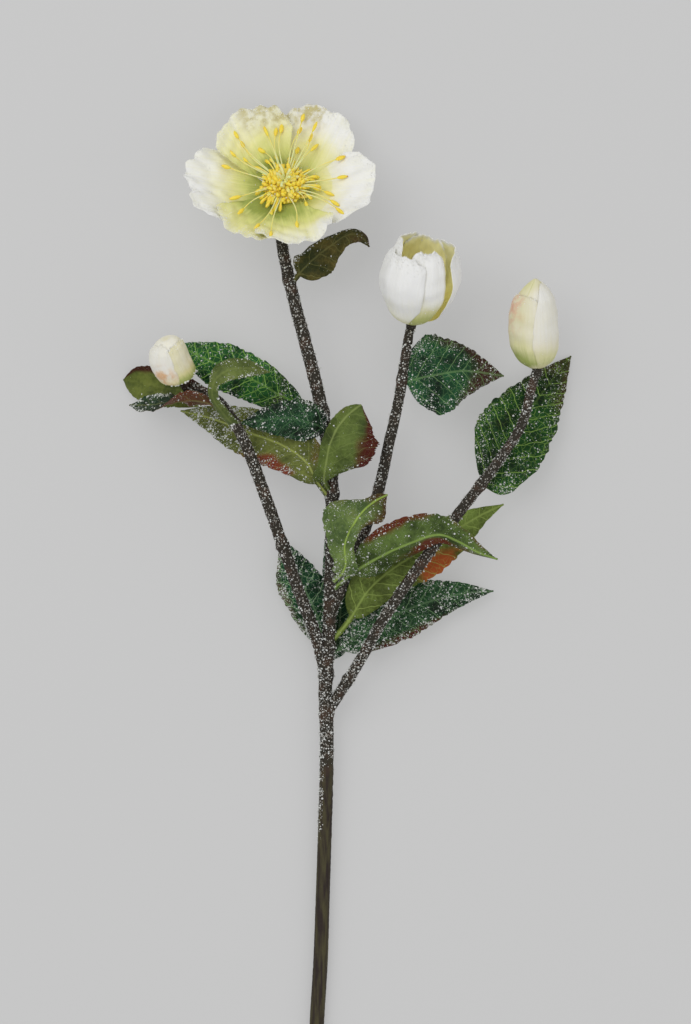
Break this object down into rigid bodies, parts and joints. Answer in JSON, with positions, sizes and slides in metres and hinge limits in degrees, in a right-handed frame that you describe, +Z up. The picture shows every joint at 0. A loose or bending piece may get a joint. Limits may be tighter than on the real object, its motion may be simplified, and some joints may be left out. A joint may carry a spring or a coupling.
{
  "type": "hellebore flower",
  "caption": "Artificial hellebore spray lying down, with a branched stem, open bloom, opening bud, closed buds and toothed leaves.",
  "frame": {"origin": "Centre of the bounding box's bottom face, on the table the spray lies on.", "axes": "+Y runs along the stem from its cut end to the open bloom, +Z is up from the table, and +X is to the right as seen from above."},
  "size_m": [0.1886, 0.4113, 0.0544],
  "materials": {
    "stem_bark": "dark brown coated wire stem with white flock snow",
    "leaf_dark": "dark green cloth leaf with pale veins and flock snow",
    "leaf_red": "green cloth leaf flushed red-brown at the edge, with flock snow",
    "leaf_pale": "yellow-green cloth leaf underside with a raised rib",
    "petal_cream": "ivory cloth petal, greenish yellow towards its foot",
    "anther_yellow": "golden yellow stamens",
    "style_cream": "cream styles"
  },
  "bodies": {
    "root": {"stem": "stem_bark", "leaf_bloom": "leaf_dark", "leaf_left_back": "leaf_red", "leaf_left_front": "leaf_red", "leaf_left_arched": "leaf_pale", "leaf_upper_far": "leaf_dark", "leaf_upper_near": "leaf_dark", "leaf_mid_left": "leaf_red", "leaf_mid_right": "leaf_red", "leaf_hub_up": "leaf_pale", "leaf_hub_right": "leaf_pale", "leaf_right_behind": "leaf_pale", "leaf_lower_right": "leaf_red", "leaf_lower_left": "leaf_dark", "leaf_lower_centre": "leaf_dark", "leaf_goblet_bud": "leaf_dark", "leaf_right_bud": "leaf_dark", "petal_left": "petal_cream", "petal_top_left": "petal_cream", "petal_top_right": "petal_cream", "petal_right": "petal_cream", "petal_bottom_right": "petal_cream", "petal_bottom_left": "petal_cream", "bloom_stamens": "anther_yellow", "bloom_pistil": "style_cream", "goblet_petal_right": "petal_cream", "goblet_petal_back": "petal_cream", "goblet_petal_left_back": "petal_cream", "goblet_petal_front_left": "petal_cream", "goblet_petal_front_right": "petal_cream", "goblet_stamens": "anther_yellow", "bud_right": "petal_cream", "bud_left": "petal_cream"}
  },
  "joints": []
}
